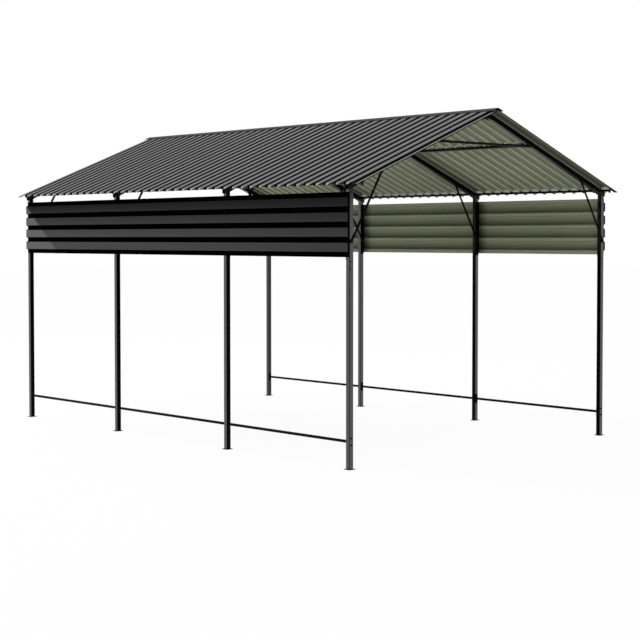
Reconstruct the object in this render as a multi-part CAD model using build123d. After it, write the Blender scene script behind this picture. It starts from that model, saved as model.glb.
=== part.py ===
from build123d import *
import math
import os

# Open carport with a gable roof: four steel frames, sheet roof and a band of side sheeting.
# Millimetres. X runs across the carport, Y along it with the front at -Y, Z up from the ground.

# Layout on the ground
post_spacing = 3000.0        # between the centre lines of the left and right posts
end_bay = 1480.0             # first and last bay, post centre to post centre
middle_bay = 1590.0          # bay in the middle
verge_overhang = 138.0       # roof beyond the centre line of the end frames
eave_overhang = 54.0         # roof beyond the centre line of the posts

# Roof line
eave_height = 2156.0         # underside of the sheet over the centre lines of the posts
roof_pitch = 22.0            # degrees

# Tubes
post_size = 40.0
post_wall = 1.4
rafter_size = 40.0
rafter_wall = 1.4
rail_size = 20.0
rail_wall = 1.2
purlin_size = 22.0
purlin_wall = 1.2
eave_tube_size = 20.0
eave_tube_wall = 1.2
collar_size = 20.0
collar_wall = 1.2
corner_radius = 3.0          # outer corner of every tube
small_corner_radius = 2.0    # outer corner of the thin tubes

# Base plates
plate_size = 65.0
plate_thickness = 4.0
plate_hole_spacing = 48.0
plate_hole_diameter = 7.0
plate_corner_radius = 4.0

# Lower side rails
rail_height = 209.0          # centre line above the ground
rail_plate_height = 85.0
rail_plate_width = 30.0
rail_plate_thickness = 3.0

# Knee braces, flat bars on the front faces of post and rafter
brace_width = 20.0
brace_thickness = 4.0
brace_foot_drop = 443.0      # foot of the brace below the eave height
brace_head_reach = 322.0     # from the post's centre line in to the head of the brace
brace_end_margin = 14.0      # bar beyond its end bolt

# Collar ties
collar_drop = 262.0          # centre line below the meeting of the slopes

# Purlins
purlin_reach = 590.0         # mid purlin from the ridge, measured level
ridge_tube_drop = 4.0        # ridge tube below the meeting of the slopes, for its corners
eave_tube_inset = 21.0       # centre line of the eave tube, in from the posts' centre line
stub_end_gap = 24.0          # from the end of the eave stub to the verge
stub_plate_size = 28.0
stub_plate_thickness = 3.0

# Rafter ends and their plates
rafter_tail = 30.0           # rafter beyond the post's centre line
gusset_thickness = 2.5
gusset_tip_drop = 6.0        # tip of the gusset below the rafter
gusset_reach = 70.0          # gusset along the rafter, in from the post's centre line
gusset_edge = 6.0            # gusset inside the rafter's upper edge
ridge_plate_reach = 70.0
ridge_plate_depth = 14.0      # point of the plate below the rafters at the ridge

# Profiled sheet, shared by the roof and the sides
sheet_thickness = 0.6
rib_depth = 18.0
rib_pitch = 113.4
rib_top_width = 68.0
rib_flank_run = 9.0
roof_rib_count = 42
roof_rib_shift = -12.2       # the pattern of ribs along Y from the middle of the roof
ridge_sheet_gap = 8.0

# Side sheeting
side_drop = 75.0             # top of the side sheeting below the eave height
side_sheet_height = 488.0
side_rib_count = 4
side_end_cover = 20.0        # sheet beyond the centre line of the end posts
side_joint_gap = 0.5

# Ridge cap and verge trims
cap_wing = 62.0
cap_thickness = 0.8
trim_thickness = 1.0
trim_width = 24.0
trim_height = 4.2            # top of the trim above the underside of the sheet
trim_drop = 2.8              # its face below the underside of the sheet

# Angle brackets that hold the side sheeting
angle_leg = 38.0             # across the post
angle_flange = 6.0           # behind the sheet
angle_thickness = 2.0
angle_chamfer = 25.0         # height of the slanting cut at the top
angle_tail = 19.0            # leg below the sheet

seat = 0.1                   # clearance between pieces that are bolted together
mitre_gap = 1.0              # clearance at the ridge between the rafters

# Values that follow from the ones above
post_x = post_spacing / 2
frame_y = [
    -middle_bay / 2 - end_bay,
    -middle_bay / 2,
    middle_bay / 2,
    middle_bay / 2 + end_bay,
]
verge_y = frame_y[-1] + verge_overhang
eave_x = post_x + eave_overhang
pitch_tan = math.tan(math.radians(roof_pitch))
pitch_cos = math.cos(math.radians(roof_pitch))
pitch_sin = math.sin(math.radians(roof_pitch))
rafter_rise = rafter_size / pitch_cos
ridge_height = eave_height + post_x * pitch_tan
collar_height = ridge_height - collar_drop
brace_foot_height = eave_height - brace_foot_drop
side_top = eave_height - side_drop
side_bottom = side_top - side_sheet_height
down_slope = (pitch_cos, 0, -pitch_sin)
slope_up = (pitch_sin, 0, pitch_cos)


def under_sheet(x):
    """Height of the underside of the roof sheet at a distance x from the ridge."""
    return ridge_height - abs(x) * pitch_tan


def under_rafter(x):
    """Height of the underside of the rafters at a distance x from the ridge."""
    return under_sheet(x) - seat - rafter_rise


def square_tube(size, wall, length, radius):
    """Square tube with rounded corners, standing on the ground plane."""
    outside = extrude(RectangleRounded(size, size, radius), length)
    bore = size - 2 * wall
    inside = extrude(RectangleRounded(bore, bore, max(radius - wall, 0.3)), length)
    return outside - inside


def tube_along_y(size, wall, radius, start, end):
    """Square tube that runs along Y from start to end, centred on the Y axis."""
    run = Plane(origin=(0, start, 0), x_dir=(1, 0, 0), z_dir=(0, 1, 0))
    return run.location * square_tube(size, wall, end - start, radius)


def mirrored(piece):
    """The same piece on the left side."""
    return mirror(piece, about=Plane.YZ)


def save(name, piece):
    export_step(piece, os.path.join("parts", name + ".step"))


def save_pair(stem, suffix, piece):
    """Write a right hand piece and its mirror image."""
    save(stem + "_right" + suffix, piece)
    save(stem + "_left" + suffix, mirrored(piece))


def group(pieces):
    """Several separate solids that share a node."""
    return Compound(children=pieces)


def post(y):
    """Right hand post, cut off to the slope of the rafter that rests on it."""
    tall = under_sheet(0)
    blank = Pos(post_x, y, plate_thickness + seat) * square_tube(
        post_size, post_wall, tall, corner_radius)
    seat_plane = Plane(
        origin=(post_x, y, under_rafter(post_x) - seat),
        x_dir=(0, 1, 0), z_dir=slope_up)
    return split(blank, bisect_by=seat_plane, keep=Keep.BOTTOM)


def base_plate(y):
    """Square plate under a right hand post with an anchor hole in each corner."""
    plate = extrude(RectangleRounded(plate_size, plate_size, plate_corner_radius), plate_thickness)
    holes = GridLocations(plate_hole_spacing, plate_hole_spacing, 2, 2)
    drills = [place * Cylinder(plate_hole_diameter / 2, 3 * plate_thickness) for place in holes]
    for drill in drills:
        plate = plate - drill
    return Pos(post_x, y, 0) * plate


def side_rail(front, back):
    """Right hand rail between the end plates of two neighbouring posts."""
    inset = post_size / 2 + rail_plate_thickness + 2 * seat
    tube = tube_along_y(rail_size, rail_wall, small_corner_radius, front + inset, back - inset)
    return Pos(post_x, 0, rail_height) * tube


def rail_plate(y, side):
    """End plate of a rail, on the face of a right hand post that looks along side."""
    face = y + side * (post_size / 2 + seat + rail_plate_thickness / 2)
    plate = Box(rail_plate_width, rail_plate_thickness, rail_plate_height)
    return Pos(post_x, face, rail_height) * plate


def rafter(y):
    """Right hand rafter, mitred at the ridge and cut upright at the eave."""
    run = (post_x + rafter_tail) / pitch_cos
    spare = rafter_size
    drop = seat + rafter_size / 2
    start = (-spare * pitch_cos - drop * pitch_sin, y, ridge_height + spare * pitch_sin - drop * pitch_cos)
    along = Plane(origin=start, x_dir=(0, 1, 0), z_dir=down_slope)
    blank = along.location * square_tube(
        rafter_size, rafter_wall, run + 3 * spare, corner_radius)
    ridge_cut = Plane(origin=(mitre_gap / 2, y, 0), x_dir=(0, 1, 0), z_dir=(1, 0, 0))
    eave_cut = Plane(origin=(post_x + rafter_tail, y, 0), x_dir=(0, 1, 0), z_dir=(1, 0, 0))
    blank = split(blank, bisect_by=ridge_cut, keep=Keep.TOP)
    return split(blank, bisect_by=eave_cut, keep=Keep.BOTTOM)


def collar_tie(y):
    """Level tube between the undersides of a pair of rafters."""
    reach = (ridge_height - collar_height) / pitch_tan
    across = Plane(origin=(-reach, y, collar_height), x_dir=(0, 1, 0), z_dir=(1, 0, 0))
    tie = across.location * square_tube(collar_size, collar_wall, 2 * reach, small_corner_radius)
    for side in (-1, 1):
        cut = Plane(
            origin=(0, y, under_rafter(0) - seat),
            x_dir=(0, 1, 0), z_dir=(side * pitch_sin, 0, pitch_cos))
        tie = split(tie, bisect_by=cut, keep=Keep.BOTTOM)
    return tie


def knee_brace(y, packing):
    """Right hand flat bar on the front faces of post and rafter, or on the angle between."""
    face = y - post_size / 2 - packing - seat
    foot = (post_x, brace_foot_height)
    head_x = post_x - brace_head_reach
    head = (head_x, under_sheet(head_x) - rafter_rise / 2)
    length = math.dist(foot, head)
    lean = math.degrees(math.atan2(head[1] - foot[1], head[0] - foot[0]))
    bar = SlotOverall(length + 2 * brace_end_margin, brace_width)
    centre = ((foot[0] + head[0]) / 2, face, (foot[1] + head[1]) / 2)
    front = Plane(origin=centre, x_dir=(1, 0, 0), z_dir=(0, -1, 0))
    return front.location * extrude(Rot(0, 0, lean) * bar, brace_thickness)


def eave_tube():
    """Right hand eave tube: one length in each bay and a stub beyond each end frame."""
    centre_x = post_x - eave_tube_inset
    top = under_sheet(centre_x + eave_tube_size / 2) - seat
    centre_z = top - eave_tube_size / 2
    clear = rafter_size / 2 + gusset_thickness + 2 * seat
    spans = [(a + clear, b - clear) for a, b in zip(frame_y, frame_y[1:])]
    stub_end = verge_y - stub_end_gap
    spans.append((frame_y[-1] + clear, stub_end - stub_plate_thickness))
    spans.append((-stub_end + stub_plate_thickness, frame_y[0] - clear))
    pieces = []
    for start, end in spans:
        tube = tube_along_y(eave_tube_size, eave_tube_wall, small_corner_radius, start, end)
        pieces.append(Pos(centre_x, 0, centre_z) * tube)
    plate = Box(stub_plate_size, stub_plate_thickness, stub_plate_size)
    plate_z = under_sheet(centre_x + stub_plate_size / 2) - seat - stub_plate_size / 2
    for number, side in ((3, 1), (4, -1)):
        end = side * (stub_end - stub_plate_thickness / 2)
        pieces[number] = pieces[number] + Pos(centre_x, end, plate_z) * plate
    return pieces


def mid_purlin():
    """Right hand purlin half way up the slope, one length in each bay, square to the roof."""
    clear = rafter_size / 2 + seat
    drop = purlin_size / 2 + seat
    centre_x = purlin_reach - drop * pitch_sin
    centre_z = under_sheet(purlin_reach) - drop * pitch_cos
    pieces = []
    for start, end in zip(frame_y, frame_y[1:]):
        tube = tube_along_y(purlin_size, purlin_wall, small_corner_radius, start + clear, end - clear)
        pieces.append(Pos(centre_x, 0, centre_z) * (Rot(0, roof_pitch, 0) * tube))
    return pieces


def ridge_tube():
    """Level tubes under the ridge, one length in each bay."""
    clear = rafter_size / 2 + gusset_thickness + 2 * seat
    top = under_sheet(purlin_size / 2) - ridge_tube_drop
    pieces = []
    for start, end in zip(frame_y, frame_y[1:]):
        tube = tube_along_y(purlin_size, purlin_wall, small_corner_radius, start + clear, end - clear)
        pieces.append(Pos(0, 0, top - purlin_size / 2) * tube)
    return pieces


def eave_gusset(y, side):
    """Right hand gusset on one face of a frame, pointed at the post and long along the rafter."""
    inner = post_x - gusset_reach
    outer = post_x + rafter_tail
    outline = Polyline(
        (post_x, under_rafter(post_x) - gusset_tip_drop),
        (outer, under_rafter(outer)),
        (outer, under_sheet(outer) - gusset_edge),
        (inner, under_sheet(inner) - gusset_edge),
        (inner, under_rafter(inner)),
        close=True)
    face = y + side * (post_size / 2 + seat)
    plane = Plane(origin=(0, face, 0), x_dir=(1, 0, 0), z_dir=(0, -1, 0))
    return plane.location * extrude(make_face(outline), -side * gusset_thickness)


def ridge_plate(y, side):
    """Plate over the ridge mitre on one face of a frame."""
    reach = ridge_plate_reach
    outline = Polyline(
        (0, under_sheet(0) - gusset_edge),
        (reach, under_sheet(reach) - gusset_edge),
        (reach, under_rafter(reach)),
        (0, under_rafter(0) - ridge_plate_depth),
        (-reach, under_rafter(reach)),
        (-reach, under_sheet(reach) - gusset_edge),
        close=True)
    face = y + side * (rafter_size / 2 + seat)
    plane = Plane(origin=(0, face, 0), x_dir=(1, 0, 0), z_dir=(0, -1, 0))
    return plane.location * extrude(make_face(outline), -side * gusset_thickness)


def sheet_profile(half_width, count, shift):
    """Section of a profiled sheet: its underside on the first axis, its ribs outwards."""
    bend = math.atan2(rib_depth, rib_flank_run)
    inset = sheet_thickness * math.tan(bend / 2)
    top = rib_top_width / 2
    foot = top + rib_flank_run
    outer = [(-half_width, sheet_thickness)]
    inner = [(-half_width, 0)]
    for number in range(count):
        centre = shift + (number - (count - 1) / 2) * rib_pitch
        outer += [
            (centre - foot, sheet_thickness),
            (centre - top, rib_depth + sheet_thickness),
            (centre + top, rib_depth + sheet_thickness),
            (centre + foot, sheet_thickness),
        ]
        inner += [
            (centre - foot + inset, 0),
            (centre - top + inset, rib_depth),
            (centre + top - inset, rib_depth),
            (centre + foot - inset, 0),
        ]
    outer.append((half_width, sheet_thickness))
    inner.append((half_width, 0))
    points = outer + list(reversed(inner))
    return make_face(Polyline(*points, close=True))


def roof_sheet():
    """Right hand roof sheet with its ribs running down the slope."""
    start = ridge_sheet_gap / pitch_cos
    length = eave_x / pitch_cos - start
    origin = (start * pitch_cos, 0, ridge_height - start * pitch_sin)
    plane = Plane(origin=origin, x_dir=(0, 1, 0), z_dir=down_slope)
    profile = sheet_profile(verge_y - trim_thickness - seat, roof_rib_count, roof_rib_shift)
    return plane.location * extrude(profile, length)


def side_sheet(start, end):
    """Right hand side sheet between two places along Y, its ribs level and facing out."""
    origin = (post_x + post_size / 2 + seat, start, (side_bottom + side_top) / 2)
    plane = Plane(origin=origin, x_dir=(0, 0, 1), z_dir=(0, 1, 0))
    profile = sheet_profile(side_sheet_height / 2, side_rib_count, 0)
    return plane.location * extrude(profile, end - start)


def ridge_cap():
    """Folded cap that lies on the ribs of both slopes along the whole ridge."""
    rise = (rib_depth + sheet_thickness + seat) / pitch_cos
    skin = cap_thickness / pitch_cos
    crown = ridge_height + rise
    wing = crown - cap_wing * pitch_tan
    outline = Polyline(
        (0, crown), (cap_wing, wing), (cap_wing, wing + skin),
        (0, crown + skin), (-cap_wing, wing + skin), (-cap_wing, wing),
        close=True)
    plane = Plane(origin=(0, verge_y, 0), x_dir=(1, 0, 0), z_dir=(0, -1, 0))
    return plane.location * extrude(make_face(outline), 2 * verge_y)


def verge_trim(side):
    """Right hand edge trim at one end of the roof, a shallow channel over the edge of the sheet."""
    start = ridge_sheet_gap / pitch_cos
    length = eave_x / pitch_cos - start
    level = sheet_thickness + seat
    edge = verge_y
    inner = verge_y - trim_width
    wall = trim_thickness
    outline = Polyline(
        (inner, level), (inner + wall, level), (inner + wall, trim_height - wall),
        (edge - wall, trim_height - wall), (edge - wall, -trim_drop), (edge, -trim_drop),
        (edge, trim_height), (inner, trim_height),
        close=True)
    section = make_face(outline)
    if side < 0:
        section = mirror(section, about=Plane.YZ)
    origin = (start * pitch_cos, 0, ridge_height - start * pitch_sin)
    plane = Plane(origin=origin, x_dir=(0, 1, 0), z_dir=down_slope)
    return plane.location * extrude(section, length)


def sheet_angle(y, side):
    """Right hand angle on one face of a post, its flange behind the side sheet."""
    outer = post_x + post_size / 2
    near = y + side * (post_size / 2 + seat)
    low = side_bottom - angle_tail
    leg = Pos(outer - angle_leg / 2, near + side * angle_thickness / 2, (low + side_top) / 2) * Box(
        angle_leg, angle_thickness, side_top - low)
    flange = Pos(
        outer - angle_thickness / 2, near + side * angle_flange / 2, (side_bottom + side_top) / 2) * Box(
        angle_thickness, angle_flange, side_top - side_bottom)
    angle = leg + flange
    slant = math.atan2(angle_chamfer, angle_leg)
    cut = Plane(
        origin=(outer, near, side_top),
        x_dir=(0, 1, 0), z_dir=(-math.sin(slant), 0, math.cos(slant)))
    return split(angle, bisect_by=cut, keep=Keep.BOTTOM)


os.makedirs("parts", exist_ok=True)

# Frames, numbered from the front
plates = []
for number, y in enumerate(frame_y, start=1):
    tag = "_" + str(number)
    save_pair("post", tag, post(y))
    save_pair("rafter", tag, rafter(y))
    save("collar_tie" + tag, collar_tie(y))
    plates.append(base_plate(y))
save("base_plates", group(plates + [mirrored(plate) for plate in plates]))

# Lower side rails and their end plates
end_plates = []
for number, (front, back) in enumerate(zip(frame_y, frame_y[1:]), start=1):
    save_pair("side_rail", "_" + str(number), side_rail(front, back))
    end_plates += [rail_plate(front, 1), rail_plate(back, -1)]
save("rail_end_plates", group(end_plates + [mirrored(plate) for plate in end_plates]))

# Knee braces
braces = [knee_brace(frame_y[0], 0)]
braces += [knee_brace(y, angle_thickness + seat) for y in frame_y[1:]]
save("knee_braces_right", group(braces))
save("knee_braces_left", group([mirrored(brace) for brace in braces]))

# Tubes along the roof
eave_pieces = eave_tube()
save("eave_tube_right", group(eave_pieces))
save("eave_tube_left", group([mirrored(piece) for piece in eave_pieces]))
purlin_pieces = mid_purlin()
save("mid_purlin_right", group(purlin_pieces))
save("mid_purlin_left", group([mirrored(piece) for piece in purlin_pieces]))
save("ridge_tube", group(ridge_tube()))

# Plates at the joints of the frames
gussets = [eave_gusset(y, side) for y in frame_y for side in (-1, 1)]
save("eave_gussets", group(gussets + [mirrored(gusset) for gusset in gussets]))
save("ridge_plates", group([ridge_plate(y, side) for y in frame_y for side in (-1, 1)]))

# Side sheeting, in two lengths that meet on the second post
joint = frame_y[1]
end = frame_y[-1] + side_end_cover
save_pair("side_sheet_front", "", side_sheet(-end, joint - side_joint_gap / 2))
save_pair("side_sheet_back", "", side_sheet(joint + side_joint_gap / 2, end))
angles = [sheet_angle(y, -1) for y in frame_y[1:]] + [sheet_angle(frame_y[0], 1)]
save("sheet_angles", group(angles + [mirrored(angle) for angle in angles]))

# Roof skin
save_pair("roof_sheet", "", roof_sheet())
save("ridge_cap", ridge_cap())
trims = [verge_trim(-1), verge_trim(1)]
save("verge_trims", group(trims + [mirrored(trim) for trim in trims]))
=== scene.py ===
import math
import bpy
import numpy as np
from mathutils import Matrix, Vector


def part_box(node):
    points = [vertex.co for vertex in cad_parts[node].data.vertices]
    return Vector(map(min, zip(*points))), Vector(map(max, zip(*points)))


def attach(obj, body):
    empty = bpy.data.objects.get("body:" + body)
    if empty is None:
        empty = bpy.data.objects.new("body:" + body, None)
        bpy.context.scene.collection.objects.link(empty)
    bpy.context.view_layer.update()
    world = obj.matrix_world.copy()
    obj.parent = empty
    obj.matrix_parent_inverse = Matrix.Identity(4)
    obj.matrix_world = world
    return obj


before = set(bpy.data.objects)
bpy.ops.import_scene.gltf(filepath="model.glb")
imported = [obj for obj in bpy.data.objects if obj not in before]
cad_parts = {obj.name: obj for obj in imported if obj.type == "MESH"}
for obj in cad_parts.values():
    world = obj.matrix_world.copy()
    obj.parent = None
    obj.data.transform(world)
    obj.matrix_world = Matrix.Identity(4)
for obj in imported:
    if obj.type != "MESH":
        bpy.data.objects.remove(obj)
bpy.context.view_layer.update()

# Posts
# Eight square steel tubes in gloss black powder coat, each welded to a small matt base plate with
# four anchor holes. The coat has a fine orange peel and is a little lighter along its edges.
posts = [name for name in sorted(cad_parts) if name.startswith("post_")]
post_boxes = np.array([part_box(name) for name in posts])
post_half = 0.020
post_x = post_boxes[:, :, 0].mean(axis=1).max()
frame_y = np.unique(post_boxes[:, :, 1].mean(axis=1).round(5))
plate_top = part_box("base_plates")[1][2]


def add_node(tree, kind, inputs=(), **settings):
    """Adds a shader node, sets its properties, then gives each input a value or a (node, output) link."""
    made = tree.nodes.new("ShaderNode" + kind)
    for key, value in settings.items():
        setattr(made, key, value)
    for socket, value in dict(inputs).items():
        if isinstance(value, tuple) and isinstance(value[0], bpy.types.Node):
            tree.links.new(value[0].outputs[value[1]], made.inputs[socket])
        elif made.inputs[socket].type == "RGBA":
            made.inputs[socket].default_value = (*value, 1)
        else:
            made.inputs[socket].default_value = value
    return made


def shader_group(name, inputs, outputs):
    """An empty shader node group with float inputs and the given outputs."""
    group = bpy.data.node_groups.new(name, "ShaderNodeTree")
    for label, value in inputs.items():
        socket = group.interface.new_socket(label, in_out="INPUT", socket_type="NodeSocketFloat")
        socket.default_value = value
    for label in outputs:
        group.interface.new_socket(label, in_out="OUTPUT", socket_type="NodeSocketFloat")
    return group, group.nodes.new("NodeGroupInput"), group.nodes.new("NodeGroupOutput")


def coat_group():
    """Powder coat: Peel is a fine orange peel, Tone a slow drift of shade and gloss, both 0 to 1."""
    group, start, end = shader_group(
        "powder_coat", {"Peel Scale": 650.0, "Tone Scale": 2.5}, ("Peel", "Tone"))
    place = add_node(group, "TexCoord")
    peel = add_node(group, "TexNoise", {
        "Vector": (place, "Object"), "Scale": (start, "Peel Scale"), "Detail": 1.0})
    tone = add_node(group, "TexNoise", {
        "Vector": (place, "Object"), "Scale": (start, "Tone Scale"), "Detail": 4.0, "Roughness": 0.6})
    group.links.new(peel.outputs["Fac"], end.inputs["Peel"])
    group.links.new(tone.outputs["Fac"], end.inputs["Tone"])
    return group


def edge_group():
    """Edge mask: how far the normal of a rounded edge, Width wide, turns away from the flat face."""
    group, start, end = shader_group("edge_wear", {"Width": 0.0012, "Turn": 0.12}, ("Mask",))
    rounded = add_node(group, "Bevel", {"Radius": (start, "Width")}, samples=2)
    face = add_node(group, "NewGeometry")
    likeness = add_node(group, "VectorMath", {
        0: (rounded, "Normal"), 1: (face, "True Normal")}, operation="DOT_PRODUCT")
    turned = add_node(group, "Math", {0: 1.0, 1: (likeness, "Value")}, operation="SUBTRACT")
    mask = add_node(group, "Math", {0: (turned, 0), 1: (start, "Turn")}, operation="DIVIDE", use_clamp=True)
    group.links.new(mask.outputs[0], end.inputs["Mask"])
    return group


def dust_group():
    """Dust mask: a thin film that fades out from Low to High above the ground, broken up by noise."""
    group, start, end = shader_group("dust_film", {"Low": 0.0, "High": 1.0, "Grain": 9.0}, ("Mask",))
    place = add_node(group, "TexCoord")
    axes = add_node(group, "SeparateXYZ", {0: (place, "Object")})
    fade = add_node(group, "MapRange", {
        "Value": (axes, "Z"), "From Min": (start, "High"), "From Max": (start, "Low")})
    cloud = add_node(group, "TexNoise", {
        "Vector": (place, "Object"), "Scale": (start, "Grain"), "Detail": 5.0, "Roughness": 0.65})
    broken = add_node(group, "MapRange", {
        "Value": (cloud, "Fac"), "From Min": 0.25, "From Max": 0.75, "To Min": 0.6, "To Max": 1.0})
    mask = add_node(group, "Math", {0: (fade, 0), 1: (broken, 0)}, operation="MULTIPLY")
    group.links.new(mask.outputs[0], end.inputs["Mask"])
    return group


coat, edge_wear, dust_film = coat_group(), edge_group(), dust_group()


def placed(tree, group, **values):
    """A node for a shader group, its inputs set from the keywords."""
    made = tree.nodes.new("ShaderNodeGroup")
    made.node_tree = group
    for label, value in values.items():
        made.inputs[label.replace("_", " ")].default_value = value
    return made


def mixed(tree, first, second, factor):
    """A colour between two colours or (node, output) links, by a (node, output) factor."""
    made = add_node(tree, "Mix", {"Factor": factor, 6: first, 7: second}, data_type="RGBA")
    return made, 2


def painted_steel(name, dark, light, edge, dust, gloss, peel, dusty, **fixed):
    """Powder coat that drifts from dark to light, with edges and dust. gloss is a roughness range,
    peel the orange peel's scale and strength, dusty the dust film's two heights, and fixed the
    numbers set straight on the shader."""
    material = bpy.data.materials.new(name)
    material.use_nodes = True
    tree = material.node_tree
    shader = tree.nodes["Principled BSDF"]
    for label, value in fixed.items():
        shader.inputs[label.replace("_", " ")].default_value = value
    skin = placed(tree, coat, Peel_Scale=peel[0])
    worn = placed(tree, edge_wear)
    film = placed(tree, dust_film, Low=dusty[0], High=dusty[1])
    tone = mixed(tree, dark, light, (skin, "Tone"))
    edged = mixed(tree, tone, edge, (worn, "Mask"))
    tree.links.new(mixed(tree, edged, dust, (film, "Mask"))[0].outputs[2], shader.inputs["Base Color"])
    rough = add_node(tree, "MapRange", {"Value": (skin, "Tone"), "To Min": gloss[0], "To Max": gloss[1]})
    tree.links.new(rough.outputs[0], shader.inputs["Roughness"])
    bump = add_node(tree, "Bump", {"Height": (skin, "Peel"), "Strength": peel[1], "Distance": 0.0001})
    tree.links.new(bump.outputs[0], shader.inputs["Normal"])
    return material


black_coat = painted_steel(
    "gloss_black_coat", (0.0010, 0.0010, 0.0010), (0.0020, 0.0020, 0.0019), (0.006, 0.006, 0.006),
    (0.005, 0.005, 0.0045), (0.05, 0.10), (650.0, 0.06), (0.0, 1.2), IOR=1.75)
matt_coat = painted_steel(
    "matt_black_coat", (0.0012, 0.0012, 0.0012), (0.0026, 0.0026, 0.0025), (0.008, 0.008, 0.008),
    (0.005, 0.005, 0.0045), (0.42, 0.55), (900.0, 0.3), (0.0, 1.2), Specular_IOR_Level=0.05)


def coat_nodes(material, *stems):
    """Gives a material to every node of the frame whose name starts with one of the stems."""
    for name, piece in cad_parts.items():
        if name.startswith(stems):
            piece.data.materials.clear()
            piece.data.materials.append(material)


coat_nodes(black_coat, "post_")
coat_nodes(matt_coat, "base_plates")


def add_piece(name, points, faces, material, smooth=False):
    """A new piece from an array of points and a list of faces, in the frame's own place."""
    mesh = bpy.data.meshes.new(name)
    mesh.from_pydata(np.asarray(points).reshape(-1, 3).tolist(), [], faces)
    mesh.polygons.foreach_set("use_smooth", np.full(len(mesh.polygons), smooth))
    mesh.materials.append(material)
    mesh.update()
    piece = bpy.data.objects.new(name, mesh)
    bpy.context.scene.collection.objects.link(piece)
    return piece


def crossed(*values, **order):
    """Every combination of the values, as one flat array for each of them."""
    return [grid.ravel() for grid in np.meshgrid(*values, **order)]


def spots(x, y, z):
    """One point for each row of the coordinates, any of which may be a single number."""
    return np.stack(np.broadcast_arrays(x, y, z), 1)


def weld_rings(name, centres, axis, half, bead, steps=72, facets=6):
    """Weld beads round square tubes that run along axis. The path is a rounded square: at each turn
    its radius is half, divided by the eighth root of the sum of the eighth powers of cosine and
    sine. The bead's round section is carried along it and swells a little in short ripples."""
    turn = np.linspace(0, 2 * np.pi, steps, endpoint=False)[:, None]
    around = np.linspace(0, 2 * np.pi, facets, endpoint=False)[None, :]
    path = half / (np.cos(turn) ** 8 + np.sin(turn) ** 8) ** 0.125
    swell = bead * (1 + 0.10 * np.sin(turn * 26) + 0.05 * np.sin(turn * 9 + 1))
    reach = path + swell * np.cos(around)
    ring = np.stack([reach * np.cos(turn), reach * np.sin(turn), swell * np.sin(around)], -1).reshape(-1, 3)
    third = np.broadcast_to(np.array(axis, float), np.shape(centres))
    first = np.where(np.abs(third[:, 2:]) > 0.5, [[1.0, 0, 0]], [[0, 0, 1.0]])
    second = np.cross(third, first)
    basis = np.stack([first, second, third], 1)
    points = centres[:, None, :] + np.einsum("pi,mij->mpj", ring, basis)
    i, j = np.meshgrid(np.arange(steps), np.arange(facets), indexing="ij")
    here, ahead = i * facets, (i + 1) % steps * facets
    beside = (j + 1) % facets
    quads = np.stack([here + j, ahead + j, ahead + beside, here + beside], -1).reshape(-1, 4)
    starts = np.arange(len(points))[:, None, None] * steps * facets
    return add_piece(name, points, (quads + starts).reshape(-1, 4).tolist(), matt_coat, smooth=True)


sides = np.array([-1.0, 1.0])
weld_sunk = 0.0003
foot_bead = 0.0022
foot_x, foot_y = crossed(sides * post_x, frame_y)
foot_welds = weld_rings(
    "post_foot_welds", spots(foot_x, foot_y, plate_top + weld_sunk), (0, 0, 1),
    post_half - weld_sunk, foot_bead)
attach(foot_welds, "root")

# Lower side rails
# A thin square tube in each bay on both sides, welded to an upright end plate at each end. Two
# bolts go through each post and its plates, with their heads to the front and nuts to the back.
coat_nodes(matt_coat, "side_rail_", "rail_end_plates")
rail_z = sum(corner[2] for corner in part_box("side_rail_left_1")) / 2
rail_half = 0.010
end_plate = 0.0031
rail_bolt_rise = 0.026


def hex_fasteners(name, places, outward, rings, material, steps=12, seed=1):
    """Bolt heads, nuts and screws that point along outward. A ring table gives radius, height over
    the seat and how far the ring is a hexagon: there the radius is divided by the cosine of the
    angle to the nearest flat, times the cosine of 30 degrees. Both poles are closed by a fan."""
    radius, height, hexagon = np.array(rings, float).T[:, :, None]
    angle = np.linspace(0, 2 * np.pi, steps, endpoint=False)[None, :]
    to_flat = (angle + np.pi / 6) % (np.pi / 3) - np.pi / 6
    shaped = radius * (1 - hexagon + hexagon * math.cos(math.pi / 6) / np.cos(to_flat))
    outward = np.broadcast_to(np.array(outward, float), np.shape(places))
    count, levels = len(outward), len(rings)
    roll = np.random.default_rng(seed).uniform(0, 2 * np.pi, count)[:, None, None]
    across = shaped * np.cos(angle + roll)
    along = shaped * np.sin(angle + roll)
    up = np.broadcast_to(height, across.shape)
    local = np.stack([across, along, up], -1).reshape(count, -1, 3)
    poles = np.array([[0, 0, height[0, 0]], [0, 0, height[-1, 0]]])
    local = np.concatenate([local, np.broadcast_to(poles, (count, 2, 3))], 1)
    helper = np.where(np.abs(outward[:, 2:]) > 0.9, [[1.0, 0, 0]], [[0, 0, 1.0]])
    first = np.cross(helper, outward)
    first /= np.linalg.norm(first, axis=1, keepdims=True)
    basis = np.stack([first, np.cross(outward, first), outward], 1)
    points = places[:, None, :] + np.einsum("mpi,mij->mpj", local, basis)
    i, j = np.meshgrid(np.arange(levels - 1), np.arange(steps), indexing="ij")
    lower, upper = i * steps, (i + 1) * steps
    beside = (j + 1) % steps
    quads = np.stack([lower + j, lower + beside, upper + beside, upper + j], -1).reshape(-1, 4)
    j = np.arange(steps)
    beside = (j + 1) % steps
    last_ring, bottom_pole = (levels - 1) * steps, levels * steps
    bottom = spots(beside, j, bottom_pole)
    top = spots(last_ring + j, last_ring + beside, bottom_pole + 1)
    starts = np.arange(count)[:, None, None] * (bottom_pole + 2)
    side_faces = (quads + starts).reshape(-1, 4).tolist()
    end_faces = (np.concatenate([bottom, top]) + starts).reshape(-1, 3).tolist()
    return add_piece(name, points, side_faces + end_faces, material)


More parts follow.
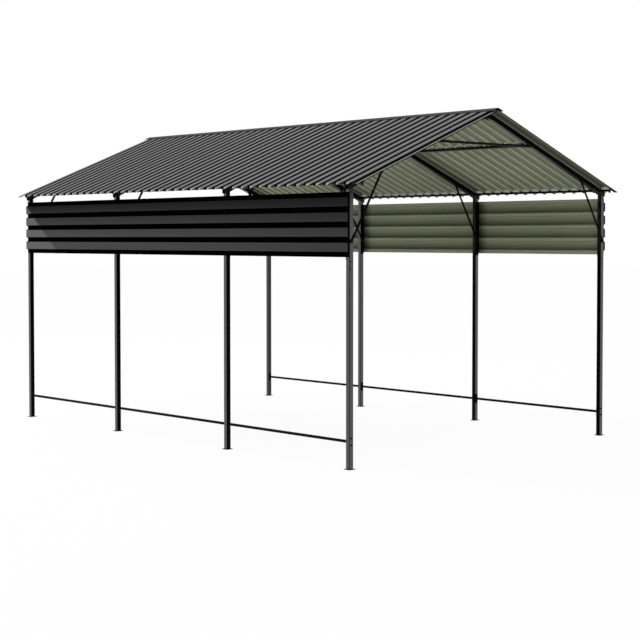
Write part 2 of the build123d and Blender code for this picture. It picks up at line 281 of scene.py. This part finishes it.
bolt_black = painted_steel(
    "black_zinc_bolts", (0.004, 0.004, 0.0042), (0.009, 0.009, 0.009), (0.02, 0.02, 0.02),
    (0.01, 0.01, 0.01), (0.32, 0.45), (1500.0, 0.2), (0.0, 0.6), Specular_IOR_Level=0.3)

washer = [(0.0080, -0.0002, 0), (0.0080, 0.0014, 0), (0.0076, 0.0016, 0), (0.0070, 0.0016, 1)]
bolt_head = washer + [(0.0072, 0.0020, 1), (0.0072, 0.0064, 1), (0.0060, 0.0070, 0)]
bolt_nut = washer + [
    (0.0072, 0.0021, 1), (0.0072, 0.0074, 1), (0.0060, 0.0080, 0), (0.0038, 0.0080, 0),
    (0.0038, 0.0112, 0), (0.0032, 0.0118, 0)]
to_front, to_back = (0, -1, 0), (0, 1, 0)
bolt_x, bolt_y, bolt_z = crossed(
    sides * post_x, frame_y, [rail_z - rail_bolt_rise, rail_z + rail_bolt_rise], indexing="ij")
front_seat = np.where(bolt_y == frame_y[0], post_half, post_half + end_plate)
back_seat = np.where(bolt_y == frame_y[-1], post_half, post_half + end_plate)
rail_bolts = hex_fasteners(
    "rail_bolt_heads", spots(bolt_x, bolt_y - front_seat, bolt_z), to_front, bolt_head, bolt_black)
rail_nuts = hex_fasteners(
    "rail_bolt_nuts", spots(bolt_x, bolt_y + back_seat, bolt_z), to_back, bolt_nut, bolt_black)

rail_bead = 0.0018
weld_off_post = post_half + 0.0033
weld_stops = np.concatenate([frame_y[:-1] + weld_off_post, frame_y[1:] - weld_off_post])
end_x, end_y = crossed(sides * post_x, weld_stops, indexing="ij")
rail_welds = weld_rings(
    "rail_end_welds", spots(end_x, end_y, rail_z), to_back, rail_half - weld_sunk, rail_bead, steps=48)
for piece in (rail_bolts, rail_nuts, rail_welds):
    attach(piece, "root")

# Rafters and collar ties
# Square tubes in pairs, cut to meet at the ridge, tied by a level tube. Flat plates on both faces
# hold the joints at the eaves and the ridge, with bolts right through the rafter.
satin_coat = painted_steel(
    "satin_black_coat", (0.0012, 0.0012, 0.0012), (0.0026, 0.0026, 0.0025), (0.008, 0.008, 0.008),
    (0.005, 0.005, 0.0045), (0.20, 0.30), (900.0, 0.3), (0.0, 1.2), Specular_IOR_Level=0.2)
coat_nodes(satin_coat, "rafter_", "collar_tie_", "eave_gussets", "ridge_plates")
pitch = math.radians(22.0)
ridge_z = 2.76204
rafter_depth = 0.040 / math.cos(pitch)
joint_plate = 0.0026
sheet_gap = 0.0001


def under_sheet(x):
    """Height of the underside of the roof sheet at a distance x from the ridge: a straight slope."""
    return ridge_z - np.abs(x) * math.tan(pitch)


joint_reach = np.array([0.026, 0.056, post_x - 0.052, post_x + 0.014])
joint_x, joint_y = crossed(np.concatenate([-joint_reach, joint_reach]), frame_y)
joint_z = under_sheet(joint_x) - sheet_gap - rafter_depth / 2
joint_seat = post_half + joint_plate
joint_bolts = hex_fasteners(
    "rafter_bolt_heads", spots(joint_x, joint_y - joint_seat, joint_z),
    to_front, bolt_head, bolt_black, seed=2)
joint_nuts = hex_fasteners(
    "rafter_bolt_nuts", spots(joint_x, joint_y + joint_seat, joint_z),
    to_back, bolt_nut, bolt_black, seed=3)
for piece in (joint_bolts, joint_nuts):
    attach(piece, "root")

# Knee braces
# Flat steel bars with round ends across the front of each frame, from the post up to the rafter.
# A bolt with a wide cup washer holds the foot, and a plain bolt holds the head. Below it, two small
# bolts in each front post hold the angle of the side sheet.
coat_nodes(matt_coat, "knee_braces_")
brace_foot_z, brace_reach = 1.713, 0.322
brace_thick, sheet_angle_thick = 0.0041, 0.0021
cup_washer = [(0.0165, -0.0002, 0), (0.0165, 0.0012, 0), (0.0140, 0.0030, 0), (0.0090, 0.0034, 0)]
cup_bolt = cup_washer + [(0.0084, 0.0034, 1), (0.0086, 0.0040, 1), (0.0086, 0.0092, 1), (0.0070, 0.0100, 0)]
foot_x, foot_y = crossed(sides * post_x, frame_y, indexing="ij")
angle_at_back = foot_y == frame_y[0]
foot_front = foot_y - post_half - brace_thick - np.where(angle_at_back, 0.0, sheet_angle_thick)
foot_back = foot_y + post_half + np.where(angle_at_back, sheet_angle_thick, 0.0)
head_x = foot_x - np.sign(foot_x) * brace_reach
head_z = under_sheet(head_x) - rafter_depth / 2
head_places = spots(head_x, foot_front, head_z)
nut_places = np.concatenate([
    spots(foot_x, foot_back, brace_foot_z), spots(head_x, foot_y + post_half, head_z)])
brace_feet = hex_fasteners(
    "brace_foot_bolts", spots(foot_x, foot_front, brace_foot_z),
    to_front, cup_bolt, bolt_black, steps=24, seed=4)
brace_heads = hex_fasteners("brace_head_bolts", head_places, to_front, bolt_head, bolt_black, seed=5)
brace_nuts = hex_fasteners("brace_bolt_nuts", nut_places, to_back, bolt_nut, bolt_black, seed=6)
small_bolt = [(0.0050, -0.0002, 0), (0.0050, 0.0010, 0), (0.0042, 0.0012, 1), (0.0042, 0.0042, 1)]
small_bolt_out = 0.009
small_bolt_levels = [1.508, 1.560]
small_x, small_z = crossed(sides * (post_x + small_bolt_out), small_bolt_levels)
front_bolts = hex_fasteners(
    "front_post_bolts", spots(small_x, frame_y[0] - post_half, small_z),
    to_front, small_bolt, bolt_black, seed=11)
for piece in (brace_feet, brace_heads, brace_nuts, front_bolts):
    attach(piece, "root")

# Tubes along the roof
# Eave tubes and a ridge tube set level, and a purlin half way up each slope, square to the sheet.
# Each length is welded between two frames, and the stubs at the verges end in a small plate.
coat_nodes(satin_coat, "eave_tube_", "mid_purlin_", "ridge_tube")

# Side sheeting
# Ribbed steel sheet with level ribs, charcoal outside and olive grey inside. Angles bolted to the
# posts carry it, and washer-faced screws go through its valleys into them.
coat_nodes(matt_coat, "sheet_angles")
rib_pitch = 0.1134
rib_depth = 0.018
sheet_skin = 0.0006
rib_share, hollow_share = 0.605, 0.77
fold_place, fold_half = 0.73, 0.032
verge = 2.413
side_low, side_high = [corner[2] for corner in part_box("side_sheet_front_left")]
side_middle = (side_low + side_high) / 2


def rib_group():
    """Where a point lies on the ribbed profile. Across runs from -1 to 1 over one pitch with the rib
    in the middle. Rib is 1 on the flat top of a rib, and Clear is the same less a Dark Edge along
    one side, which the sheets paint as shade. Fold is the foot of the flank on the side where Across
    is positive, where the side sheets paint a line of shade and the roof a painted highlight."""
    group, start, end = shader_group(
        "rib_profile", {"Along": 0.0, "First Rib": 0.0, "Pitch": rib_pitch, "Dark Edge": 0.0},
        ("Rib", "Clear", "Across", "Fold"))
    moved = add_node(group, "Math", {0: (start, "Along"), 1: (start, "First Rib")}, operation="SUBTRACT")
    phase = add_node(group, "Math", {0: (moved, 0), 1: (start, "Pitch")}, operation="DIVIDE")
    half = add_node(group, "Math", {0: (phase, 0), 1: 0.5}, operation="ADD")
    part = add_node(group, "Math", {0: (half, 0)}, operation="FRACT")
    across = add_node(group, "MapRange", {"Value": (part, 0), "To Min": -1.0, "To Max": 1.0})
    rib = add_node(group, "Math", {0: (across, 0), 1: 0.0, 2: rib_share}, operation="COMPARE")
    edge = add_node(group, "Math", {0: (start, "Dark Edge"), 1: -rib_share}, operation="ADD")
    past_edge = add_node(group, "Math", {0: (across, 0), 1: (edge, 0)}, operation="GREATER_THAN")
    clear = add_node(group, "Math", {0: (rib, 0), 1: (past_edge, 0)}, operation="MULTIPLY")
    fold = add_node(group, "Math", {0: (across, 0), 1: fold_place, 2: fold_half}, operation="COMPARE")
    for made, label in ((rib, "Rib"), (clear, "Clear"), (across, "Across"), (fold, "Fold")):
        group.links.new(made.outputs[0], end.inputs[label])
    return group


rib_profile = rib_group()


def ribbed_sheet(
        name, outward, along, first_rib, dark_edge, outside, inside, fade, painted_light_near_parts, exposure, shade):
    """Charcoal coat outside and olive inside. dark_edge is the width of each rib's dark edge at the
    front and at the back of the carport, and outside holds the outer colours of valley and rib: the
    valleys and the dark edges take the valley colour as painted shade. inside holds the inner colours
    of rib, valley and fold: the valley is painted lighter as light on the proud band, and the fold is
    a painted line of shade on the side sheets and of highlight on the roof. fade gives the shares of
    its colour that the inner rib keeps at its two edges, a painted shading across it.
    painted_light_near_parts paints shade and light on the inner colour near tubes and posts,
    exposure makes the share of clear coat outside, which paints the shade of the eave and the cap,
    and shade is how far in front of every frame the inside darkens as painted shade."""
    material = bpy.data.materials.new(name)
    material.use_nodes = True
    tree = material.node_tree
    shader = tree.nodes["Principled BSDF"]
    shader.inputs["Specular IOR Level"].default_value = 0.0
    shader.inputs["Coat Roughness"].default_value = 0.28
    shader.inputs["Coat IOR"].default_value = 1.8
    place = add_node(tree, "TexCoord")
    axes = add_node(tree, "SeparateXYZ", {0: (place, "Object")})
    profile = placed(tree, rib_profile, First_Rib=first_rib)
    tree.links.new(axes.outputs[along], profile.inputs["Along"])
    dark_side = add_node(tree, "MapRange", {
        "Value": (axes, "Y"), "From Min": -verge, "From Max": verge,
        "To Min": dark_edge[0], "To Max": dark_edge[1]})
    tree.links.new(dark_side.outputs[0], profile.inputs["Dark Edge"])
    skin = placed(tree, coat, Peel_Scale=500.0, Tone_Scale=1.3)
    face = add_node(tree, "NewGeometry")
    turn = add_node(tree, "VectorMath", {0: (face, "True Normal"), 1: outward}, operation="DOT_PRODUCT")
    is_outside = add_node(tree, "Math", {0: (turn, "Value"), 1: 0.02}, operation="GREATER_THAN")
    outer = mixed(tree, *outside, (profile, "Clear"))
    # Painted shading: the inner rib's colour is scaled from fade[0] to fade[1] across it, on the side
    # sheets lighter at the top and darker at the bottom.
    fading = add_node(tree, "MapRange", {
        "Value": (profile, "Across"), "From Min": -0.6, "From Max": 0.6,
        "To Min": fade[0], "To Max": fade[1]})
    faded = add_node(tree, "VectorMath", {0: inside[0], "Scale": (fading, 0)}, operation="SCALE")
    flat = mixed(tree, inside[1], (faded, 0), (profile, "Rib"))
    lined = mixed(tree, flat, inside[2], (profile, "Fold"))
    # Painted shade: the inside darkens just in front of every frame and under the verge overhang.
    place_along = add_node(tree, "MapRange", {"Value": (axes, "Y"), "From Min": -verge, "From Max": verge})
    frame_shade = add_node(tree, "ValToRGB", {0: (place_along, 0)})
    stops = frame_shade.color_ramp.elements
    verge_light, frame_light = 0.55, 0.35
    stops[0].color = (verge_light, verge_light, verge_light, 1)
    for offset, light in ((-shade, 1.0), (-0.03, frame_light), (0.02, frame_light), (0.03, 1.0)):
        for stop_y in (frame_y + offset)[frame_y + offset > -verge]:
            stops.new((stop_y + verge) / (2 * verge)).color = (light, light, light, 1)
    dimmed = add_node(tree, "VectorMath", {0: lined, "Scale": (frame_shade, 0)}, operation="SCALE")
    # Painted shade and light near tubes and posts go onto the inner colour here.
    both = mixed(tree, painted_light_near_parts(tree, axes, profile, (dimmed, 0)), outer, (is_outside, 0))
    drift = add_node(tree, "MapRange", {"Value": (skin, "Tone"), "To Min": 0.88, "To Max": 1.12})
    drifted = add_node(tree, "VectorMath", {0: both, "Scale": (drift, 0)}, operation="SCALE")
    tree.links.new(drifted.outputs[0], shader.inputs["Base Color"])
    rough = add_node(tree, "MapRange", {"Value": (skin, "Tone"), "To Min": 0.45, "To Max": 0.6})
    tree.links.new(rough.outputs[0], shader.inputs["Roughness"])
    on_rib = add_node(tree, "Math", {0: exposure(tree, axes), 1: (profile, "Clear")}, operation="MULTIPLY")
    inner_clear = (0.06, 0.06, 0.06)
    clear = mixed(tree, inner_clear, (on_rib, 0), (is_outside, 0))
    tree.links.new(clear[0].outputs[2], shader.inputs["Coat Weight"])
    waves = add_node(tree, "TexNoise", {"Vector": (place, "Object"), "Scale": 5.0, "Detail": 1.0})
    dents = add_node(tree, "Bump", {"Height": (waves, "Fac"), "Strength": 0.35, "Distance": 0.004})
    bump = add_node(tree, "Bump", {
        "Height": (skin, "Peel"), "Strength": 0.15, "Distance": 0.0001, "Normal": (dents, 0)})
    tree.links.new(bump.outputs[0], shader.inputs["Normal"])
    return material


def under_eave(tree, axes):
    """Share of clear coat on a side sheet. The eave takes the light from its upper ribs, more so the
    higher they are, but not from a corner at the back end below a slanting line."""
    shade_start, shade_end = side_high - 0.036, side_middle - 0.077
    corner_slope, corner_start, corner_end = -1.33, -0.45, -0.39
    shaded = add_node(tree, "MapRange", {
        "Value": (axes, "Z"), "From Min": shade_start, "From Max": shade_end,
        "To Min": 0.02, "To Max": 0.52})
    slant = add_node(tree, "Math", {
        0: (axes, "Z"), 1: corner_slope, 2: (axes, "Y")}, operation="MULTIPLY_ADD")
    corner = add_node(tree, "MapRange", {
        "Value": (slant, 0), "From Min": corner_start, "From Max": corner_end})
    return add_node(tree, "Math", {0: (shaded, 0), 1: (corner, 0)}, operation="MAXIMUM"), 0


def past_post(tree, axes, profile, colour):
    """The inside of a side sheet is painted in shade where it passes the end posts."""
    reach = add_node(tree, "Math", {0: (axes, "Y")}, operation="ABSOLUTE")
    beyond = add_node(tree, "Math", {0: (reach, 0), 1: post_start}, operation="GREATER_THAN")
    return mixed(tree, colour, shaded_black, (beyond, 0))


post_start = 2.256
# Painted shade: shaded_black stands for shade in the side sheets' outer valleys and inside past the end
# posts, and side_charcoal_shaded is the sheets' charcoal painted darker than the roof's.
shaded_black, side_charcoal_shaded = (0.0006, 0.0006, 0.0006), (0.011, 0.0115, 0.011)
# olive_proud_lit is painted lighter as light on the proud valleys inside, and olive_flank_shade darker as a
# painted line of shade at each fold.
olive, olive_proud_lit, olive_flank_shade = (0.205, 0.223, 0.143), (0.30, 0.32, 0.225), (0.11, 0.12, 0.08)
for side, outward in (("left", (-1, 0, 0)), ("right", (1, 0, 0))):
    coat_nodes(
        ribbed_sheet(
            "side_sheet_coat_" + side, outward, "Z", side_middle + rib_pitch / 2, (0.0, 0.0),
            (shaded_black, side_charcoal_shaded), (olive, olive_proud_lit, olive_flank_shade), (0.33, 1.25),
            past_post, under_eave, 0.13),
        "side_sheet_front_" + side, "side_sheet_back_" + side)

sheet_screw = [(0.0075, -0.0002, 0), (0.0070, 0.0022, 0), (0.0046, 0.0024, 1), (0.0046, 0.0068, 1)]
outer_screw, joint_screw = 0.2285, 0.010
side_levels = side_middle + np.array([-outer_screw, -rib_pitch, 0, rib_pitch, outer_screw])
side_stops = np.array([frame_y[0], frame_y[1] - joint_screw, frame_y[1] + joint_screw, *frame_y[2:]])
side_face = post_x + post_half + sheet_gap + sheet_skin
screw_x, screw_y, screw_z = crossed(sides * side_face, side_stops, side_levels)
side_screws = hex_fasteners(
    "side_sheet_screws", spots(screw_x, screw_y, screw_z), spots(np.sign(screw_x), 0, 0),
    sheet_screw, matt_coat, seed=7)
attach(side_screws, "root")

# Roof sheets
# The same ribbed sheet on both slopes, its ribs running down from ridge to eave. Screws with a
# rubber-faced washer go through every valley into the eave tube and the mid purlin.
valley_shift = -0.0122
tube_strips = ((1.520, 0.050, verge), (0.585, 0.023, frame_y[-1] - post_half))


def below_cap(tree, axes):
    """Share of clear coat on the roof: full but for a band just below the ridge cap's edge, where
    less coat paints the cap's shadow.
    """
    band_start, band_end = 0.078, 0.086
    reach = add_node(tree, "Math", {0: (axes, "X")}, operation="ABSOLUTE")
    return add_node(tree, "MapRange", {
        "Value": (reach, 0), "From Min": band_start, "From Max": band_end,
        "To Min": 0.04, "To Max": 0.56}), 0


def over_tubes(tree, axes, profile, colour):
    """Where the sheet passes over the eave tube and the mid purlin its valleys are in their shade,
    and daylight comes in through the hollow ribs. Each strip has a middle and a half width along
    the slope, and a half length along the tube."""
    reach = add_node(tree, "Math", {0: (axes, "X")}, operation="ABSOLUTE")
    in_hollow = add_node(tree, "Math", {
        0: (profile, "Across"), 1: 0.0, 2: hollow_share}, operation="COMPARE")
    for middle, half, end_y in tube_strips:
        across_tube = add_node(tree, "Math", {0: (reach, 0), 1: middle, 2: half}, operation="COMPARE")
        along_tube = add_node(tree, "Math", {0: (axes, "Y"), 1: 0.0, 2: float(end_y)}, operation="COMPARE")
        over_tube = add_node(tree, "Math", {0: (across_tube, 0), 1: (along_tube, 0)}, operation="MULTIPLY")
        lit = add_node(tree, "Math", {0: (reach, 0), 1: middle, 2: half - lit_inset}, operation="COMPARE")
        hollow = mixed(tree, colour, eave_light, (lit, 0))
        by_rib = mixed(tree, shaded_black, hollow, (in_hollow, 0))
        colour = mixed(tree, colour, by_rib, (over_tube, 0))
    return colour


lit_inset = 0.012
eave_light = (0.62, 0.65, 0.55)
# Painted shade and light: roof_valley_shade darkens the outer valleys and rib edges, and roof_charcoal_lit
# is the side sheets' charcoal painted lighter as a lit copy.
roof_valley_shade, roof_charcoal_lit = (0.006, 0.006, 0.006), (0.045, 0.046, 0.045)
# roof_proud_lit is painted lighter as light on the proud valleys inside, and roof_fold_highlight is a
# painted highlight along each fold.
roof_olive, roof_proud_lit, roof_fold_highlight = (0.208, 0.227, 0.147), (0.245, 0.263, 0.18), (0.58, 0.60, 0.48)
coat_nodes(
    ribbed_sheet(
        "roof_sheet_coat", (0, 0, 1), "Y", valley_shift + rib_pitch / 2, (0.11, 0.27),
        (roof_valley_shade, roof_charcoal_lit), (roof_olive, roof_proud_lit, roof_fold_highlight), (1.0, 1.0),
        over_tubes, below_cap, 0.30),
    "roof_sheet_")


def off_slope(x):
    """Directions that stand square on the roof at the distances x from the ridge."""
    return spots(np.sign(x) * math.sin(pitch), 0, math.cos(pitch))


screw_lines = np.array([1.479, 0.590])
valleys = valley_shift + rib_pitch * np.arange(-20, 21)
screw_x, screw_y = crossed(np.concatenate([-screw_lines, screw_lines]), valleys)
seats = spots(screw_x, screw_y, under_sheet(screw_x)) + off_slope(screw_x) * sheet_skin
roof_screws = hex_fasteners("roof_screws", seats, off_slope(screw_x), sheet_screw, bolt_black, seed=8)
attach(roof_screws, "root")

# Ridge cap and verge trims
# A folded cap lies on the ribs along the ridge, and a shallow channel covers the cut edge of the
# sheet at both gables. Both are thin steel in the roof's charcoal, held by small rivets.
cap_coat = painted_steel(
    "charcoal_cap_coat", (0.008, 0.0085, 0.008), (0.014, 0.0145, 0.014), (0.02, 0.02, 0.02),
    (0.02, 0.02, 0.02), (0.35, 0.5), (500.0, 0.15), (0.0, 0.5),
    Specular_IOR_Level=0.0, Coat_Weight=0.3, Coat_Roughness=0.3)
verge_coat = painted_steel(
    "charcoal_verge_coat", (0.003, 0.003, 0.003), (0.006, 0.006, 0.006), (0.02, 0.02, 0.02),
    (0.01, 0.01, 0.01), (0.35, 0.5), (500.0, 0.1), (0.0, 0.5), Specular_IOR_Level=0.1)
# The faces of the verge trims that look up are given a pale grey.
up_face_grey = (0.26, 0.275, 0.24)
tree = verge_coat.node_tree
verge_face = add_node(tree, "NewGeometry")
verge_axes = add_node(tree, "SeparateXYZ", {0: (verge_face, "True Normal")})
on_top = add_node(tree, "Math", {0: (verge_axes, "Z"), 1: 0.5}, operation="GREATER_THAN")
verge_paint = tree.nodes["Principled BSDF"].inputs["Base Color"]
pale_top = mixed(tree, (verge_paint.links[0].from_node, 2), up_face_grey, (on_top, 0))
tree.links.new(pale_top[0].outputs[2], verge_paint)
coat_nodes(cap_coat, "ridge_cap")
coat_nodes(verge_coat, "verge_trims")
cap_thick = 0.0008
cap_rivet_out = 0.050
cap_rise = (rib_depth + sheet_skin + sheet_gap + cap_thick) / math.cos(pitch)
cap_x, cap_y = crossed(sides * cap_rivet_out, valley_shift + rib_pitch * (np.arange(0, 42, 2) - 20.5))
cap_seats = spots(cap_x, cap_y, under_sheet(cap_x) + cap_rise)
rivet = [(0.0036, -0.0001, 0), (0.0034, 0.0006, 0), (0.0026, 0.0011, 0), (0.0012, 0.0014, 0)]
cap_rivets = hex_fasteners("ridge_cap_rivets", cap_seats, off_slope(cap_x), rivet, cap_coat, seed=9)

trim_rise, trim_rivet_in = 0.0042, 0.012
rivet_lines = np.linspace(0.15, 1.50, 6)
rivet_x, rivet_y = crossed(
    np.concatenate([-rivet_lines, rivet_lines]), sides * (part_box("verge_trims")[1][1] - trim_rivet_in))
rivet_seats = spots(rivet_x, rivet_y, under_sheet(rivet_x)) + off_slope(rivet_x) * trim_rise
trim_rivets = hex_fasteners(
    "verge_trim_rivets", rivet_seats, off_slope(rivet_x), rivet, verge_coat, seed=10)
for piece in (cap_rivets, trim_rivets):
    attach(piece, "root")

# Studio
# A plain white floor and background, even light from all round and one large soft lamp behind and
# above. Reflections also show a dark curtain on the near side, which keeps the black tubes crisp.
floor_reach, floor_drop = 60.0, 0.0005
floor_x, floor_y = floor_reach * np.array([(-1, 1, 1, -1), (-1, -1, 1, 1)])
floor_white = bpy.data.materials.new("floor_white")
floor_white.use_nodes = True
tree = floor_white.node_tree
floor_paint = tree.nodes["Principled BSDF"]
floor_paint.inputs["Base Color"].default_value = (0.95, 0.95, 0.95, 1)
floor_paint.inputs["Roughness"].default_value = 0.9
floor_glow = add_node(tree, "Emission", {"Color": (1, 1, 1), "Strength": 1.0})
floor_ray = add_node(tree, "LightPath")
glow_share = add_node(tree, "Math", {0: (floor_ray, "Is Camera Ray"), 1: 0.94}, operation="MULTIPLY")
floor_mix = add_node(tree, "MixShader", {0: (glow_share, 0), 1: (floor_paint, 0), 2: (floor_glow, 0)})
tree.links.new(floor_mix.outputs[0], tree.nodes["Material Output"].inputs["Surface"])
floor = add_piece("floor", spots(floor_x, floor_y, -floor_drop), [(0, 1, 2, 3)], floor_white)
floor.visible_glossy = False

curtain_black = bpy.data.materials.new("curtain_black")
curtain_black.use_nodes = True
curtain_paint = curtain_black.node_tree.nodes["Principled BSDF"]
curtain_paint.inputs["Base Color"].default_value = (0, 0, 0, 1)
curtain_paint.inputs["Roughness"].default_value = 1.0
curtain_paint.inputs["Specular IOR Level"].default_value = 0.0
curtain_distance, curtain_columns = 400.0, 60
curtain_rises = np.radians([-60, -40, -20, 0, 1.85, 1.95, 20, 40, 60, 80])
step_rise, low_edge, high_edge, far_edge = np.radians([1.9, 139.8, 60.0, 314.5])
share, rise = crossed(np.linspace(0, 1, curtain_columns), curtain_rises)
near_edge = np.where(rise > step_rise, high_edge, low_edge)
bearing = near_edge + share * (far_edge - near_edge)
curtain_points = curtain_distance * spots(
    np.cos(rise) * np.sin(bearing), np.cos(rise) * np.cos(bearing), np.sin(rise))
row, column = crossed(np.arange(len(curtain_rises) - 1), np.arange(curtain_columns - 1), indexing="ij")
below = row * curtain_columns + column
above = below + curtain_columns
curtain_faces = np.stack([below, below + 1, above + 1, above], -1).tolist()
curtain = add_piece("dark_curtain", curtain_points, curtain_faces, curtain_black)
curtain.visible_camera = False
curtain.visible_diffuse = False
curtain.visible_shadow = False

world = bpy.data.worlds.new("studio_white")
bpy.context.scene.world = world
world.use_nodes = True
tree = world.node_tree
world_ray = add_node(tree, "LightPath")
mirrored = add_node(tree, "Math", {
    0: (world_ray, "Is Camera Ray"), 1: (world_ray, "Is Glossy Ray")}, operation="MAXIMUM")
seen = add_node(tree, "Math", {
    0: (mirrored, 0), 1: (world_ray, "Is Transmission Ray")}, operation="MAXIMUM")
strength = add_node(tree, "MapRange", {"Value": (seen, 0), "To Min": 0.85, "To Max": 1.0})
tree.nodes["Background"].inputs["Color"].default_value = (1, 1, 1, 1)
tree.links.new(strength.outputs[0], tree.nodes["Background"].inputs["Strength"])

key_light = bpy.data.lights.new("key", "AREA")
key_light.shape = "DISK"
key_light.size = 5.0
key_light.energy = 700.0
key_lamp = bpy.data.objects.new("key", key_light)
bpy.context.scene.collection.objects.link(key_lamp)
key_x, key_y, key_z = -3.5, 8.8, 10.4
key_lamp.location = (key_x, key_y, key_z)
key_lamp.rotation_euler = (math.atan2(math.hypot(key_x, key_y), key_z), 0, math.atan2(key_x, -key_y))

# Camera
# The photograph's own view, from a person's height off the front left corner with a long lens.
view_lens = bpy.data.cameras.new("view")
camera = bpy.data.objects.new("view", view_lens)
bpy.context.scene.collection.objects.link(camera)
tilt_down, turn_right = 0.03694167, 0.72775703
camera.location = (-9.22505665, -10.61261867, 1.73439722)
camera.rotation_euler = (math.pi / 2 - tilt_down, 0, -turn_right)
view_lens.sensor_width = 36.0
view_lens.lens = 85.544
view_lens.shift_y = -0.03977
bpy.context.scene.camera = camera
bpy.context.scene.view_settings.view_transform = "Standard"
